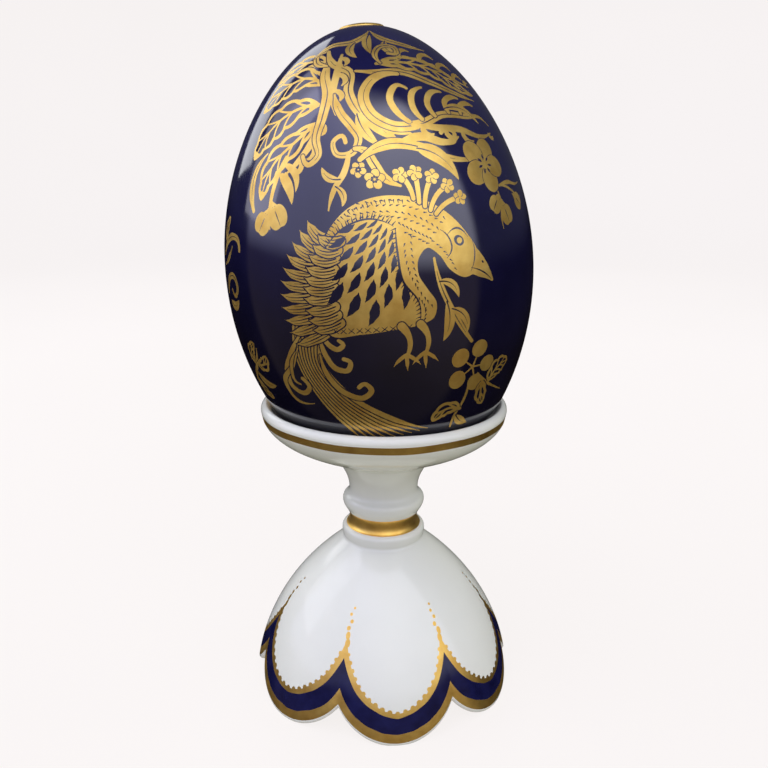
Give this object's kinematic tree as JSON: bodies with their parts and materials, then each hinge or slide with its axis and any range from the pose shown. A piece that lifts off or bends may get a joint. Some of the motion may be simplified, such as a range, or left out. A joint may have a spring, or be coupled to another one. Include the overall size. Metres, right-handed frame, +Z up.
{
  "type": "porcelain egg on stand",
  "caption": "Decorative porcelain egg resting in the saucer of a waisted white stand with a petalled, scalloped bell foot.",
  "frame": {"origin": "middle of the whole outline, on the surface that the stand rests on", "axes": "+Z up; -Y is the front with the bird, as in the picture; +X to the right seen from the front"},
  "size_m": [0.0676, 0.0672, 0.15],
  "materials": {
    "cobalt_egg": "gloss cobalt glaze with gilt painting",
    "white_porcelain": "gloss white glaze with gilt and blue lines"
  },
  "bodies": {
    "root": {"egg": "cobalt_egg", "stand": "white_porcelain"}
  },
  "joints": []
}
